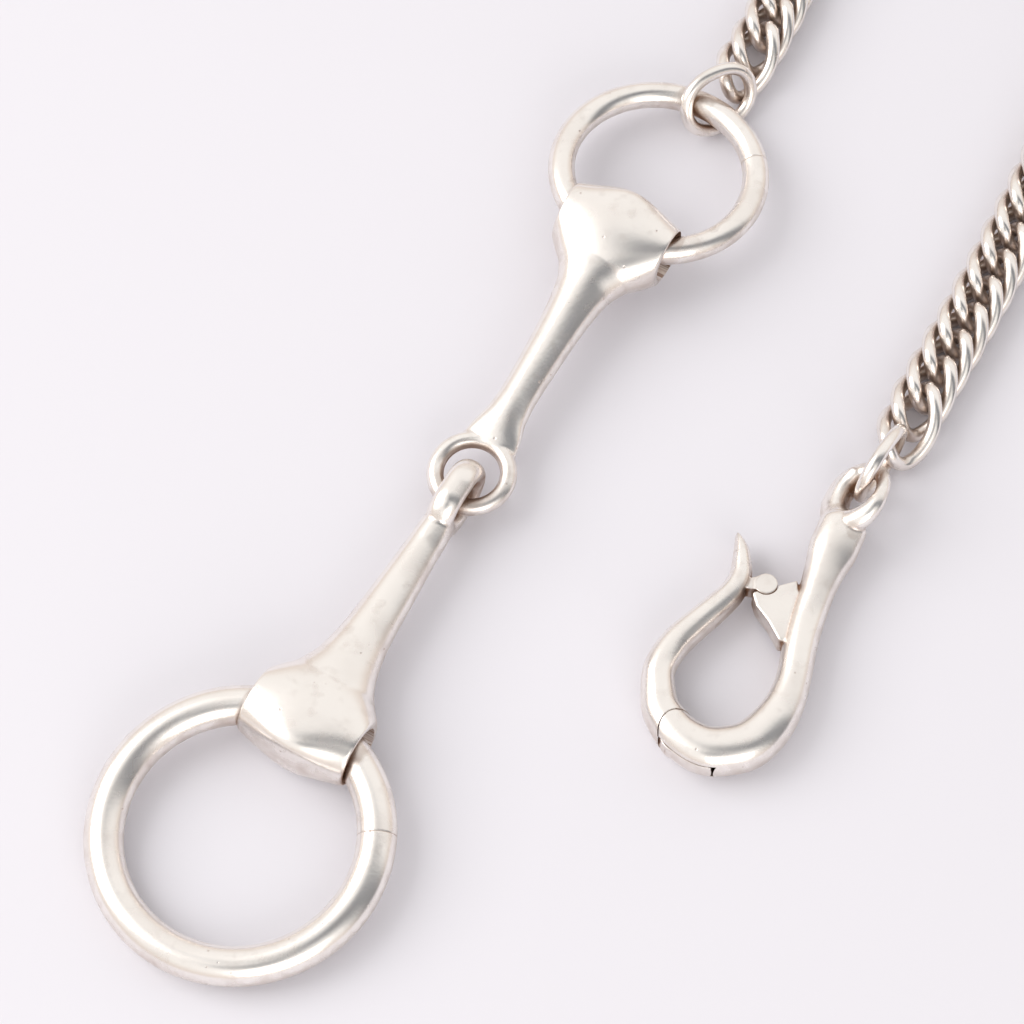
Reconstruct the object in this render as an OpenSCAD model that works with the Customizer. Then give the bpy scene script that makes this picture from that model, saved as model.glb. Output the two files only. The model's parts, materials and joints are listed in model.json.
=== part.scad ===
// Jointed loose-ring snaffle bit in miniature, carried on a double curb chain
// that ends in a hinged hook clasp. Everything lies flat on the table, z = 0.

/* [Rings] */
// Outer diameter of the large ring
large_ring_d = 30.6; // [28:0.1:33]
// Wire diameter of the large ring
large_ring_wire = 3.95; // [3.6:0.05:4]
// Outer diameter of the small ring
small_ring_d = 23.3; // [22:0.1:25]
// Wire diameter of the small ring
small_ring_wire = 2.8; // [2.4:0.05:2.9]

/* [Mouthpiece] */
// Width of each trumpet-shaped end, along the hole for its ring
butt_width = 12.0; // [11:0.1:12.2]
// Height of the lower trumpet end
lower_butt_height = 6.7; // [6.5:0.1:7]
// Height of the upper trumpet end
upper_butt_height = 6.2; // [6.1:0.1:6.6]
// Width of a shank at its thinnest
shank_width = 3.7; // [3.4:0.1:4]
// Outer diameter of the flat eye in the middle joint
flat_eye_d = 9.3; // [9:0.1:9.6]
// Wire thickness of the flat eye
flat_eye_wire = 1.8; // [1.6:0.1:1.9]
// Wire thickness of the upright eye that hooks through the flat eye
hook_eye_wire = 2.3; // [2.1:0.1:2.4]

/* [Chain] */
// Number of links in the curb chain
link_count = 50; // [50:1:50]
// Distance from one link's centre to the next
link_pitch = 3.6; // [3.55:0.05:3.65]
// Wire diameter of the links
link_wire = 1.46; // [1.3:0.02:1.48]

/* [Clasp] */
// Height of the clasp at its bulbous bottom
clasp_height = 4.8; // [4.6:0.1:5]
// Diameter of the hinge pin
pin_d = 1.0; // [0.8:0.1:1.2]

/* [Hidden] */
$fn = 48;
function two(n) = n < 10 ? str("0", n) : str(n);
function link_name(n) = str("chain_link_", two(n));

silver = [0.84, 0.82, 0.80];
spring_grey = [0.62, 0.62, 0.63];

// The layout is drawn from the middle of the scene, then moved so that the
// middle of the whole object's footprint is the origin.
origin = [20.45, 25.13];

// ---- small helpers ----
function polar(angle, r = 1) = [r * cos(angle), r * sin(angle), 0];
function signed_pow(v, e) = sign(v) * pow(abs(v), e);
function hermite(p0, p1, m0, m1, t) =
    (2 * t * t * t - 3 * t * t + 1) * p0 + (t * t * t - 2 * t * t + t) * m0
    + (3 * t * t - 2 * t * t * t) * p1 + (t * t * t - t * t) * m1;
// Slope at knot i of a list of rows whose first column is the position along the
// curve: the harmonic mean of its two sides, so the curve never overshoots a row
function side_slope(rows, i) = (rows[i + 1] - rows[i]) / (rows[i + 1][0] - rows[i][0]);
function slope(rows, i) =
    i == 0 ? side_slope(rows, 0)
    : i == len(rows) - 1 ? side_slope(rows, i - 1)
    : let (a = side_slope(rows, i - 1), b = side_slope(rows, i))
        [for (k = [0:len(a) - 1]) a[k] * b[k] <= 0 ? 0 : 2 * a[k] * b[k] / (a[k] + b[k])];
// Rows at every step between the knots of a list, on one smooth curve
function smooth_rows(rows, steps) = concat(
    [for (i = [0:len(rows) - 2], k = [0:steps - 1])
        let (span = rows[i + 1][0] - rows[i][0])
        hermite(rows[i], rows[i + 1], slope(rows, i) * span, slope(rows, i + 1) * span, k / steps)],
    [rows[len(rows) - 1]]);

// One closed skin over a list of rings of points, all with the same even count.
// Each end is closed by strips between the points that face each other.
module skin(rings) {
    n = len(rings[0]);
    last = len(rings) - 1;
    points = [for (ring = rings, p = ring) p];
    sides = [for (i = [0:last - 1], j = [0:n - 1], half = [0, 1])
        let (a = i * n + j, b = i * n + (j + 1) % n, c = a + n, d = b + n)
        half == 0 ? [a, b, d] : [a, d, c]];
    caps = [for (end = [0, 1], j = [0:n / 2 - 2], half = [0, 1])
        let (o = end * last * n, a = o + j, b = o + j + 1, c = o + n - 2 - j, d = o + n - 1 - j,
            face = half == 0 ? [a, b, c] : [a, c, d])
        end == 0 ? [face[2], face[1], face[0]] : face];
    polyhedron(points, concat(sides, caps));
}

// A closed loop of round wire along a list of points
module wire_loop(path, wire, sides = 6) {
    n = len(path);
    ring = [for (i = [0:n - 1])
        let (tangent = path[(i + 1) % n] - path[(i + n - 1) % n],
            t = tangent / norm(tangent),
            u0 = cross(t, [0, 0, 1]),
            u = norm(u0) < 0.05 ? [1, 0, 0] : u0 / norm(u0),
            v = cross(t, u))
        [for (j = [0:sides - 1])
            let (a = 360 * (j + 0.5) / sides) path[i] + wire / 2 * (cos(a) * u + sin(a) * v)]];
    points = [for (r = ring, p = r) p];
    polyhedron(points, [for (i = [0:n - 1], j = [0:sides - 1], half = [0, 1])
        let (i2 = (i + 1) % n, j2 = (j + 1) % sides,
            a = i * sides + j, b = i * sides + j2, c = i2 * sides + j, d = i2 * sides + j2)
        half == 0 ? [a, b, d] : [a, d, c]]);
}

// ---- bit layout ----
upper_heading = 60.9;
lower_heading = 240.1;
flat_eye = [-4.08, 2.61, 3.6];
flat_eye_r = (flat_eye_d - flat_eye_wire) / 2;
upper_rise = 3.2;
lower_rise = 0.5;
upper_bore_at = 30.05;
lower_bore_at = 31.6;
lower_bore_r = 2.98;
upper_bore_r = 2.75;
lower_bore_shift = 0.85;
upper_bore_shift = 1.2;
small_ring_r = (small_ring_d - small_ring_wire) / 2;
large_ring_r = (large_ring_d - large_ring_wire) / 2;
small_ring_tilt = 6.7;
large_ring_tilt = 4.2;

// Places a child modelled along +X from the flat eye's centre
module along(heading, rise) {
    translate(flat_eye) rotate([0, -rise, heading]) children();
}

module ring(radius, wire) {
    rotate_extrude($fn = 96) translate([radius, 0]) circle(d = wire, $fn = 32);
}

// A ring held in a trumpet end, its far side tilted down by tilt. It curves
// away inside its hole, so the hole sits a little beyond the wire's middle.
module held_ring(heading, rise, bore_at, bore_shift, radius, wire, tilt) {
    along(heading, rise) translate([bore_at + bore_shift, 0, 0]) rotate([0, rise + tilt, 0])
        translate([radius - bore_shift, 0, 0]) ring(radius, wire);
}

module large_ring() {
    color(silver) held_ring(lower_heading, lower_rise, lower_bore_at, lower_bore_shift,
        large_ring_r, large_ring_wire, large_ring_tilt);
}

module small_ring() {
    color(silver) held_ring(upper_heading, upper_rise, upper_bore_at, upper_bore_shift,
        small_ring_r, small_ring_wire, small_ring_tilt);
}

// Sections of a mouthpiece half: distance, half width, half height, corner radius
// and how far the section's sides fall behind its middle
lower_rows = [
    [6.2, 1.75, 1.9, 1.7, 0], [8.5, shank_width / 2, 1.85, 1.7, 0], [15, 2.2, 2.05, 1.9, 0],
    [21, 2.65, 2.35, 2.2, 0], [24.8, 3.4, 2.75, 2.5, 0], [27.1, 4.8, 3.1, 2.1, 0.2],
    [29.3, butt_width / 2, lower_butt_height / 2, 1, 0.5],
    [36.6, butt_width / 2, lower_butt_height / 2, 0.7, 0.85]];
upper_rows = [
    [3.4, 2.8, 0.8, 0.7, 0], [5.2, 2.6, 1.3, 1.2, 0], [7.6, shank_width / 2, 1.7, 1.55, 0],
    [13, 2.05, 1.9, 1.75, 0], [19, 2.35, 2.15, 2, 0], [23.6, 3.0, 2.5, 2.3, 0],
    [25.8, 4.0, 2.8, 2, 0.2], [28.3, butt_width / 2, upper_butt_height / 2, 1, 0.5],
    [35.35, butt_width / 2, upper_butt_height / 2, 0.7, 1.1]];

// One section: its top from one side to the other, then its bottom back again
section_steps = 14;
function section_top(row) = [for (j = [0:section_steps])
    let (y = -row[1] * cos(180 * j / section_steps),
        over = max(0, abs(y) - row[1] + row[3]))
    [row[0] - row[4] * pow(y / row[1], 2), y, row[2] - row[3] + sqrt(row[3] * row[3] - over * over)]];
function section(row) = let (top = section_top(row)) concat(
    top, [for (j = [section_steps:-1:0]) [top[j][0], top[j][1], -top[j][2]]]);

// A trumpet-shaped shank with a round hole across its wide end
module trumpet(rows, bore_at, bore_r) {
    difference() {
        skin([for (row = smooth_rows(rows, 2)) section(row)]);
        translate([bore_at, 0, 0]) rotate([90, 0, 0])
            cylinder(r = bore_r, h = butt_width + 6, center = true);
    }
}

module upper_mouthpiece() {
    color(silver) along(upper_heading, upper_rise) {
        trumpet(upper_rows, upper_bore_at + upper_bore_shift, upper_bore_r);
        rotate_extrude($fn = 64) translate([flat_eye_r, 0]) circle(d = flat_eye_wire, $fn = 24);
    }
}

// Upright eye: a flat-sided oval loop in the XZ plane
loop_r = 2.4;
loop_far = 2.4;
loop_near = 4.3;
module lower_mouthpiece() {
    color(silver) along(lower_heading, lower_rise) {
        trumpet(lower_rows, lower_bore_at + lower_bore_shift, lower_bore_r);
        rotate([90, 0, 0]) {
            translate([loop_far, 0, 0]) rotate([0, 0, 90])
                rotate_extrude(angle = 180, $fn = 48) translate([loop_r, 0])
                    circle(d = hook_eye_wire, $fn = 24);
            translate([loop_near, 0, 0]) rotate([0, 0, -90])
                rotate_extrude(angle = 180, $fn = 48) translate([loop_r, 0])
                    circle(d = hook_eye_wire, $fn = 24);
            for (side = [-1, 1]) translate([loop_far, side * loop_r, 0]) rotate([0, 90, 0])
                cylinder(d = hook_eye_wire, h = loop_near - loop_far, $fn = 24);
        }
    }
}

// ---- chain ----
// A link's wire centre: long and short half axes, twist, and the finer shape
link_a = 4.36;
link_b = 2.35;
link_c = 1.42;
link_a3 = 0.14;
link_b3 = -0.16;
link_c4 = 0.14;
link_sides = 6;
link_steps = 22;
function link_point(t) = [
    link_a * cos(t) + link_a3 * cos(3 * t),
    link_b * sin(t) + link_b3 * sin(3 * t),
    -link_c * sin(2 * t) - link_c4 * sin(4 * t)];
link_path = [for (k = [0:link_steps - 1]) link_point(360 * k / link_steps)];

// The chain leaves the small ring, makes one open loop and comes back to the clasp.
// It bends left, then right round the far end, then left again, with a half turn
// at each change. Each run is a number of joints and the turn at each one.
chain_start = [25.4, 52.8];
chain_heading = 64;
chain_z = 2.2;
bend_out = 7.22;
bend_round = -8.59;
bend_back = 6.09;
chain_runs = [
    [2, 0], [3, bend_out], [1, bend_out / 2], [1, bend_round / 2], [26, bend_round],
    [1, bend_round / 2], [1, bend_back / 2], [4, bend_back], [8, -0.5], [1, 0.5], [1, 5]];
turns = [for (run = chain_runs, k = [1:run[0]]) run[1]];
function heading(n) = n == 0 ? chain_heading : heading(n - 1) + turns[n - 1];
headings = [for (n = [0:link_count - 1]) heading(n)];
function place(n) = n == 0 ? [chain_start[0], chain_start[1], chain_z]
    : place(n - 1) + polar(headings[n - 1], link_pitch / 2) + polar(headings[n], link_pitch / 2);

// The two end links are pulled towards their oval links, and the last one leans up
first_link_pull = [-0.09, 0.13, 0.03];
last_link_pull = [-0.01, -0.14, 0.26];
last_link_lean = [5, -2.6];

module curb_link(n) {
    pull = n == 1 ? first_link_pull : n == link_count ? last_link_pull : [0, 0, 0];
    lean = n == link_count ? last_link_lean : [0, 0];
    color(silver) translate(place(n - 1) + pull) rotate([lean[0], lean[1], headings[n - 1]])
        wire_loop(link_path, link_wire, link_sides);
}

// Plain oval links at the chain's two ends
oval_wire = 1.38;
module oval_link(long_half, short_half) {
    path = [for (k = [0:31]) let (t = 360 * k / 32)
        [long_half * signed_pow(cos(t), 0.9), short_half * signed_pow(sin(t), 0.9), 0]];
    wire_loop(path, oval_wire, 8);
}

module ring_link() {
    color(silver) translate([22.0, 47.18, 3.52]) rotate([59.2, 3.96, 31.9]) oval_link(4.03, 3.21);
}

module clasp_link() {
    color(silver) translate([37.45, 3.54, 4.06]) rotate([90.9, 14.4, 57.9]) oval_link(4.13, 3.2);
}

// ---- clasp ----
clasp_eye = [35.12, -0.14, 3.75];
clasp_eye_r = 3.15;
clasp_eye_wire = 1.8;
clasp_eye_lean = 47;
clasp_heading = 246.4;
clasp_z = clasp_height / 2;
hinge = [16.6, -25.9];
pin_fit = 0.03;
knuckle_r = 2.2;
tongue_z = [1.35, 3.45];
slot_gap = 0.1;
slot_reach = 3.95;
pocket_r = 1.35;

// Middle line of the hook: place along it, x, y, z, half width, half height
hook_rows = [
    [0, 33.6, -3.3, 3.45, 2.4, 1.6], [3, 32.45, -5.6, 3.1, 2.45, 1.85],
    [6, 31.35, -8.1, 2.8, 2.0, 1.95], [9, 30.35, -10.8, 2.6, 1.8, 2.0],
    [12, 29.35, -13.6, 2.4, 1.8, 2.1], [15, 28.6, -16.5, 2.4, 1.75, 2.2],
    [18, 28.05, -19.3, 2.4, 1.75, 2.25], [21, 27.1, -22.2, 2.4, 1.95, 2.3],
    [24, 25.3, -25.0, 2.4, 2.25, 2.4], [27, 22.7, -27.05, 2.4, 2.4, 2.4],
    [30, 19.6, -27.45, 2.4, 2.4, 2.4], [33, hinge[0], hinge[1], 2.4, 2.2, 2.3]];
// The same for the gate, from beside the hinge to the thumb tip
gate_rows = [
    [0, 15.9, -24.9, 2.4, 2.1, 2.25], [3, 14.55, -22.3, 2.4, 1.85, 2.15],
    [6, 14.45, -19.3, 2.4, 1.65, 2.05], [9, 16.0, -16.1, 2.4, 1.55, 2.0],
    [12, 18.2, -13.9, 2.4, 1.45, 1.95], [15, 20.5, -11.85, 2.4, 1.35, 1.9],
    [18, 22.5, -9.8, 2.4, 1.15, 1.85], [20, 23.3, -7.9, 2.4, 0.95, 1.75],
    [22, 23.4, -5.9, 2.4, 0.65, 1.5], [24, 23.15, -4.1, 2.4, 0.25, 1.1]];

// Sections across a middle line that bends in the table's plane
function swept(rows, sides) = [for (i = [0:len(rows) - 1])
    let (a = rows[max(i - 1, 0)], b = rows[min(i + 1, len(rows) - 1)],
        d = [b[1] - a[1], b[2] - a[2]], t = d / norm(d), r = rows[i])
    [for (j = [0:sides - 1])
        let (w = 360 * (j + 0.5) / sides,
            s = r[4] * signed_pow(cos(w), 0.85),
            h = r[5] * signed_pow(sin(w), 0.85))
        [r[1] + t[1] * s, r[2] - t[0] * s, r[3] + h]]];

module at_hinge(z) {
    translate([hinge[0], hinge[1], z]) children();
}

// Spur on the hook that the gate's boss rests on, and the boss itself
boss = [25.45, -9.75];
boss_r = 1.15;
seat_gap = 0.12;
spur_outline = [[28.6, -9.4], [24.0, -10.75], [24.35, -12.2], [25.5, -13.9], [26.5, -16.0], [28.4, -16.4]];

module clasp_hook() {
    color(silver) difference() {
        union() {
            skin(swept(smooth_rows(hook_rows, 2), 16));
            translate(clasp_eye) rotate([0, 0, clasp_heading]) rotate([clasp_eye_lean, 0, 0])
                rotate_extrude($fn = 64) translate([clasp_eye_r, 0])
                    circle(d = clasp_eye_wire, $fn = 24);
            at_hinge(clasp_z - 2.25) cylinder(r = knuckle_r, h = 4.5, $fn = 40);
            translate([0, 0, 1.1]) linear_extrude(2.6) polygon(spur_outline);
        }
        at_hinge(-1) cylinder(r = pin_d / 2 + pin_fit, h = 7, $fn = 24);
        at_hinge(tongue_z[0] - slot_gap) {
            slot_h = tongue_z[1] - tongue_z[0] + 2 * slot_gap;
            cylinder(r = knuckle_r + 0.15, h = slot_h, $fn = 40);
            linear_extrude(slot_h) polygon(concat([[0, 0]],
                [for (a = [-104:8:-8]) slot_reach * [cos(a), sin(a)]]));
        }
        translate([boss[0], boss[1], 0]) cylinder(r = boss_r + seat_gap, h = 6, $fn = 32);
    }
}

module clasp_gate() {
    color(silver) {
        difference() {
            union() {
                skin(swept(smooth_rows(gate_rows, 2), 14));
                translate([boss[0], boss[1], 1.3]) cylinder(r = boss_r, h = 2.3, $fn = 32);
                translate([0, 0, 1.3]) linear_extrude(2.3)
                    polygon([[23.1, -9.2], [25.2, -8.75], [25.3, -9.9], [24.35, -10.35], [23.3, -10.1]]);
            }
            at_hinge(-1) cylinder(r = knuckle_r + 0.12, h = 8, $fn = 40);
        }
        difference() {
            at_hinge(tongue_z[0]) {
                cylinder(r = knuckle_r - 0.1, h = tongue_z[1] - tongue_z[0], $fn = 40);
                linear_extrude(tongue_z[1] - tongue_z[0]) {
                    polygon([[-1.9, 0.8], [-2.9, 2.4], [-1.3, 3.0], [0.6, 2.0]]);
                    polygon([[-1, -1.3], [0.35, -3.3], [2.35, -3.0], [1.5, -1.5]]);
                }
            }
            at_hinge(0) cylinder(r = pin_d / 2 + pin_fit, h = 6, $fn = 24);
            at_hinge(spring_z[0]) cylinder(r = pocket_r, h = 3, $fn = 32);
        }
    }
}

module gate_pin() {
    color(silver) at_hinge(clasp_z - 2.2) cylinder(d = pin_d, h = 4.4, $fn = 24);
}

// Coil around the pin, in a pocket in the gate's tongue
spring_z = [2.15, 3.45];
spring_r = 0.95;
spring_wire = 0.28;
spring_turns = 2.5;
module gate_spring() {
    steps = 12 * spring_turns;
    rise = spring_z[1] - spring_z[0] - 2 * spring_wire;
    path = [for (k = [0:steps]) let (a = 30 * k)
        [spring_r * cos(a), spring_r * sin(a), spring_wire + rise * k / steps]];
    color(spring_grey) at_hinge(spring_z[0]) skin([for (k = [0:steps]) let (a = 30 * k)
        [for (j = [0:5]) path[k] + spring_wire / 2
            * [cos(60 * j) * cos(a), cos(60 * j) * sin(a), sin(60 * j)]]]);
}

// ---- assembly ----
translate([-origin[0], -origin[1], 0]) {
    large_ring();
    lower_mouthpiece();
    upper_mouthpiece();
    small_ring();
    ring_link();
    for (n = [1:link_count]) curb_link(n);
    clasp_link();
    clasp_hook();
    clasp_gate();
    gate_pin();
    gate_spring();
}
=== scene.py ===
"""A miniature jointed snaffle bit in polished silver, with its curb chain and hook clasp.

Shapes are built in millimetres and turned to metres at the end. Every place comes
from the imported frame: its joints give the holes, the fold and the gate's hinge, and
each chain link's own solid gives where that link lies.
"""

import json
import logging
import math
from dataclasses import dataclass, field
from enum import Enum

import bpy
import numpy as np
from bpy.types import Material, Mesh, Node, NodeSocket, NodeTree, Object
from mathutils import Matrix, Vector
from mathutils.bvhtree import BVHTree


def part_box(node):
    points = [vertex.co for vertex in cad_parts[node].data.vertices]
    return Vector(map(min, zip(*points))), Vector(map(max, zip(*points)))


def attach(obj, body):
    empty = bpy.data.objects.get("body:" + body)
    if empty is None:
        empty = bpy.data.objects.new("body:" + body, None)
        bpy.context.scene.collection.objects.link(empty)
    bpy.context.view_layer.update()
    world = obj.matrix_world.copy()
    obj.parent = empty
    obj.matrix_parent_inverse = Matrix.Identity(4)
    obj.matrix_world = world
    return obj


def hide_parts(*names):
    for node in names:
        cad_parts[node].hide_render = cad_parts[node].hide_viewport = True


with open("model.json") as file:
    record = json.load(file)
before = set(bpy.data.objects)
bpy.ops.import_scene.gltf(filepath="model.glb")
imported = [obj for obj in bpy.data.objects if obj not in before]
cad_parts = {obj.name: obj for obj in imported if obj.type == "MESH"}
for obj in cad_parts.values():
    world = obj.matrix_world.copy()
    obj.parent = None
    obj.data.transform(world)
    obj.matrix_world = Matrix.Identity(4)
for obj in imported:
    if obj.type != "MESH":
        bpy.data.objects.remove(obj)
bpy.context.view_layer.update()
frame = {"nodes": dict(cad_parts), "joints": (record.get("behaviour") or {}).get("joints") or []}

logging.basicConfig(level=logging.INFO, format="%(message)s")
LOG = logging.getLogger("snaffle")

MM = 0.001
# Where the layout's own zero lies on the table, in mm; the camera looks there
LAYOUT = np.array([-20.45, -25.13, 0.0])
UP = np.array([0.0, 0.0, 1.0])


class Slot(Enum):
    """The record's material slots."""

    BIT = "bit_silver"
    CHAIN = "chain_silver"
    CLASP = "clasp_silver"
    PIN = "gate_pin_silver"
    SPRING = "spring_steel"


# ---------------------------------------------------------------- small maths


def unit(vector: np.ndarray) -> np.ndarray:
    """Return the vector at length one."""
    return np.asarray(vector, float) / np.linalg.norm(vector)


def axes_matrix(origin: np.ndarray, along: np.ndarray, lateral: np.ndarray) -> np.ndarray:
    """Make a 4 by 4 matrix whose X runs along a piece and whose Y runs across it.

    Args:
        origin: where the piece's own zero lies, in mm.
        along: the direction of its X.
        lateral: roughly the direction of its Y.

    Returns:
        The matrix from the piece's own axes to the frame's.
    """
    x = unit(along)
    z = unit(np.cross(x, lateral))
    matrix = np.eye(4)
    matrix[:3, 0] = x
    matrix[:3, 1] = np.cross(z, x)
    matrix[:3, 2] = z
    matrix[:3, 3] = origin
    return matrix


def joint(name: str) -> tuple[np.ndarray, np.ndarray]:
    """Return a joint's place in mm and its axis."""
    found = next(j for j in frame["joints"] if j["name"] == name)
    return np.array(found["pos_m"], float) / MM, unit(found["axis"])


def smooth_rows(rows: list, steps: int) -> np.ndarray:
    """Fill in rows between given ones on a curve that never overshoots them.

    Args:
        rows: rows of equal length whose first column is the distance along the piece.
        steps: how many rows replace each gap.

    Returns:
        The finer rows.
    """
    knots = np.array(rows, float)
    side = np.diff(knots, axis=0) / np.diff(knots[:, :1], axis=0)
    product = side[:-1] * side[1:]
    middle = np.where(product > 0, 2 * product / np.where(product > 0, side[:-1] + side[1:], 1), 0)
    slope = np.vstack([side[:1], middle, side[-1:]])
    fine = []
    for i in range(len(knots) - 1):
        span = knots[i + 1, 0] - knots[i, 0]
        for t in np.arange(steps) / steps:
            fine.append(
                (2 * t**3 - 3 * t**2 + 1) * knots[i]
                + (t**3 - 2 * t**2 + t) * slope[i] * span
                + (3 * t**2 - 2 * t**3) * knots[i + 1]
                + (t**3 - t**2) * slope[i + 1] * span
            )
    return np.array(fine + [knots[-1]])


def around(count: int) -> np.ndarray:
    """Return evenly spaced angles once round a circle."""
    return np.linspace(0, 2 * np.pi, count, endpoint=False)


def stretch_power(value: np.ndarray, power: float | np.ndarray) -> np.ndarray:
    """Raise to a power and keep the sign, which squares up a circle's corners."""
    return np.sign(value) * np.abs(value) ** power


# ---------------------------------------------------------------- mesh making


def in_scene(name: str, data: bpy.types.ID) -> Object:
    """Put a mesh, a lamp or a camera into the scene as an object."""
    item = bpy.data.objects.new(name, data)
    bpy.context.scene.collection.objects.link(item)
    return item


def mesh_object(name: str, points: np.ndarray, faces: list) -> Object:
    """Make a mesh object from points and faces.

    Args:
        name: the object's name.
        points: its points.
        faces: the numbers of each face's points.

    Returns:
        The object.
    """
    mesh = bpy.data.meshes.new(name)
    mesh.from_pydata([tuple(p) for p in points], [], faces)
    mesh.update()
    return in_scene(name, mesh)


def skin(name: str, rings: np.ndarray, closed: bool = False) -> Object:
    """Make a skin over rings of points, capped at both ends or closed on itself.

    Args:
        name: the object's name.
        rings: an array of rings, points and coordinates.
        closed: True joins the last ring to the first.

    Returns:
        The object, with its faces pointing outwards.
    """
    count, sides = rings.shape[:2]
    spans = count if closed else count - 1
    faces = [
        (
            i * sides + j,
            i * sides + (j + 1) % sides,
            (i + 1) % count * sides + (j + 1) % sides,
            (i + 1) % count * sides + j,
        )
        for i in range(spans)
        for j in range(sides)
    ]
    if not closed:
        faces.append(tuple(range(sides - 1, -1, -1)))
        faces.append(tuple((count - 1) * sides + j for j in range(sides)))
    piece = mesh_object(name, rings.reshape(-1, 3), faces)
    face_outwards(piece)
    return piece


def face_outwards(piece: Object) -> None:
    """Turn a closed mesh's faces outwards and shade them smooth.

    Args:
        piece: the object, which changes.
    """
    mesh = piece.data
    mesh.calc_loop_triangles()
    corners = np.array([v.co[:] for v in mesh.vertices])
    index = np.array([t.vertices[:] for t in mesh.loop_triangles])
    a, b, c = (corners[index[:, k]] for k in range(3))
    if np.einsum("ij,ij->", a, np.cross(b, c)) < 0:
        mesh.flip_normals()
    for polygon in mesh.polygons:
        polygon.use_smooth = True


def tube(
    name: str, path: np.ndarray, radii: tuple, sides: int = 24, side_axis: np.ndarray = UP
) -> Object:
    """Sweep an oval section round a closed path that lies in one plane.

    Args:
        name: the object's name.
        path: the closed path's points.
        radii: the section's half sizes, in the path's plane and across it.
        sides: points round the section.
        side_axis: the plane's normal.

    Returns:
        The tube.
    """
    tangent = np.roll(path, -1, 0) - np.roll(path, 1, 0)
    tangent /= np.linalg.norm(tangent, axis=1, keepdims=True)
    out = np.cross(tangent, side_axis)
    angle = around(sides)
    rings = (
        path[:, None]
        + radii[0] * np.cos(angle)[None, :, None] * out[:, None]
        + radii[1] * np.sin(angle)[None, :, None] * np.asarray(side_axis)[None, None]
    )
    return skin(name, rings, closed=True)


def cylinder(name: str, start: np.ndarray, end: np.ndarray, radii: tuple, sides: int = 64) -> Object:
    """Make a round or oval cylinder between two points.

    Args:
        name: the object's name.
        start: the middle of one end.
        end: the middle of the other.
        radii: the radius that lies level and the one across it.
        sides: points round it.

    Returns:
        The cylinder.
    """
    axis = unit(np.asarray(end) - start)
    level = np.cross(axis, UP)
    level = np.array([1.0, 0, 0]) if np.linalg.norm(level) < 0.1 else unit(level)
    rise = np.cross(axis, level)
    angle = around(sides)
    ring = radii[0] * np.cos(angle)[:, None] * level + radii[1] * np.sin(angle)[:, None] * rise
    return skin(name, np.stack([ring + start, ring + end]))


def plate(name: str, outline: list, low: float, high: float) -> Object:
    """Make a flat plate with the given outline between two heights."""
    ring = np.array([[x, y, 0.0] for x, y in outline])
    return skin(name, np.stack([ring + [0, 0, low], ring + [0, 0, high]]))


def evaluated(piece: Object) -> None:
    """Apply a piece's modifiers and leave it a plain mesh.

    Args:
        piece: the object, which changes.
    """
    graph = bpy.context.evaluated_depsgraph_get()
    mesh = bpy.data.meshes.new_from_object(piece.evaluated_get(graph), depsgraph=graph)
    piece.modifiers.clear()
    old = piece.data
    piece.data = mesh
    bpy.data.meshes.remove(old)


def cast_together(name: str, parts: list, voxel: float, soften: int) -> Object:
    """Melt overlapping solids into one casting with soft inside corners.

    Args:
        name: the casting's name.
        parts: the solids, which are used up.
        voxel: the casting's grain, in mm.
        soften: rounds of smoothing.

    Returns:
        The casting.
    """
    points, faces, start = [], [], 0
    for part in parts:
        points += [v.co[:] for v in part.data.vertices]
        faces += [tuple(start + i for i in p.vertices) for p in part.data.polygons]
        start = len(points)
        bpy.data.objects.remove(part)
    piece = mesh_object(name, np.array(points), faces)
    melt = piece.modifiers.new("melt", "REMESH")
    melt.mode = "VOXEL"
    melt.voxel_size = voxel
    melt.use_smooth_shade = True
    polish = piece.modifiers.new("polish", "SMOOTH")
    polish.factor = 0.5
    polish.iterations = soften
    evaluated(piece)
    return piece


def carve(piece: Object, tool: Object, operation: str) -> None:
    """Cut a piece with a tool, or keep only what both fill, and use the tool up.

    Args:
        piece: the object, which changes.
        tool: the other solid.
        operation: DIFFERENCE to cut, or INTERSECT to keep what both fill.
    """
    bite = piece.modifiers.new("carve", "BOOLEAN")
    bite.operation = operation
    bite.solver = "EXACT"
    bite.object = tool
    evaluated(piece)
    bpy.data.objects.remove(tool)


def cut(piece: Object, *tools: Object) -> None:
    """Cut tools out of a piece, and use them up."""
    for tool in tools:
        carve(piece, tool, "DIFFERENCE")


def into_place(piece: Object, matrix: np.ndarray) -> Object:
    """Move a piece's mesh from its own millimetres into the frame's metres.

    Args:
        piece: the object, which changes.
        matrix: where its own axes lie in the frame, in mm.

    Returns:
        The same object.
    """
    piece.data.transform(Matrix(matrix.tolist()))
    piece.data.transform(Matrix.Scale(MM, 4))
    piece.data.update()
    return piece


# ---------------------------------------------------------------- finishes


def linear(hex_colour: str) -> tuple:
    """Turn an sRGB hex colour into linear red, green, blue and alpha."""
    values = [int(hex_colour[i : i + 2], 16) / 255 for i in (1, 3, 5)]
    return tuple(v / 12.92 if v <= 0.04045 else ((v + 0.055) / 1.055) ** 2.4 for v in values) + (1.0,)


def add(tree: NodeTree, kind: str, inputs: dict | None = None, **settings: object) -> Node:
    """Add a node with its settings, values and links.

    Args:
        tree: the tree to add to.
        kind: the node's type name.
        inputs: value or output socket for each input, by name or number.
        settings: attributes of the node itself.

    Returns:
        The node.
    """
    node = tree.nodes.new(kind)
    for key, value in settings.items():
        setattr(node, key, value)
    for key, value in (inputs or {}).items():
        socket = node.inputs[key]
        if isinstance(value, NodeSocket):
            tree.links.new(value, socket)
        else:
            socket.default_value = value
    return node


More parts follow.
